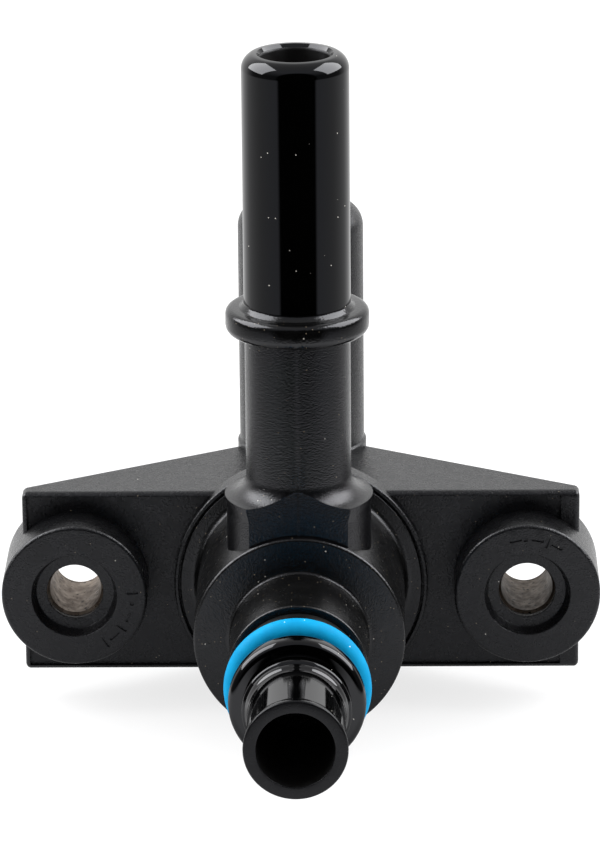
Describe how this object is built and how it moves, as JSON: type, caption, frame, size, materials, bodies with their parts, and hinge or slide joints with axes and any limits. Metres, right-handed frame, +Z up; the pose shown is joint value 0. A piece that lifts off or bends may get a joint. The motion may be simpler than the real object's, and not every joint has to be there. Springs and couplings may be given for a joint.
{
  "type": "flange-mounted valve body",
  "caption": "Black moulded valve body with an upright quick-connect spigot, a second tube behind it, an O-ring spigot on a drum and a wedge bracket with steel-bushed ears.",
  "frame": {"origin": "on the surface that it stands on, midway from side to side and from the inlet's mouth to the back of the rear column", "axes": "+Z up along both tubes, +Y from the inlet's mouth back to the rear tube, +X to the viewer's right"},
  "size_m": [0.068, 0.077, 0.08],
  "materials": {
    "matt_nylon": "fine spark grain, matt black glass-filled nylon",
    "gloss_nylon": "matt drum and lower pipe, glossy black spigots",
    "bush_steel": "mottled, lightly stained steel",
    "blue_rubber": "satin",
    "black_rubber": "satin",
    "acetal": "natural white, smooth",
    "brass": "turned",
    "spring_steel": "bright drawn wire"
  },
  "bodies": {
    "housing": {"mounting_bracket": "matt_nylon", "front_housing": "gloss_nylon", "left_bush": "bush_steel", "right_bush": "bush_steel", "inlet_o_ring": "blue_rubber", "backup_ring": "black_rubber", "housing_seal": "black_rubber", "inlet_strainer": "matt_nylon", "seat_insert": "brass", "seat_o_ring": "black_rubber", "spring_cage": "acetal", "check_spring": "spring_steel", "relief_seat": "brass", "relief_seat_o_ring": "black_rubber", "relief_spring": "spring_steel", "relief_spring_cap": "acetal", "relief_snap_ring": "spring_steel"},
    "check_poppet": {"check_poppet": "acetal", "poppet_seal": "black_rubber", "seal_retainer": "spring_steel"},
    "relief_poppet": {"relief_poppet": "acetal", "relief_poppet_seal": "black_rubber"}
  },
  "joints": [
    {"name": "check_slide", "type": "slide", "parent": "housing", "child": "check_poppet", "axis": [0, 1, 0], "range_m": [0, 0.0032], "stiffness_N_per_m": 250, "springref_m": -0.004, "deforming": ["check_spring"]},
    {"name": "relief_slide", "type": "slide", "parent": "housing", "child": "relief_poppet", "axis": [0, 0, 1], "range_m": [0, 0.0024], "stiffness_N_per_m": 900, "springref_m": -0.005, "deforming": ["relief_spring"]}
  ]
}
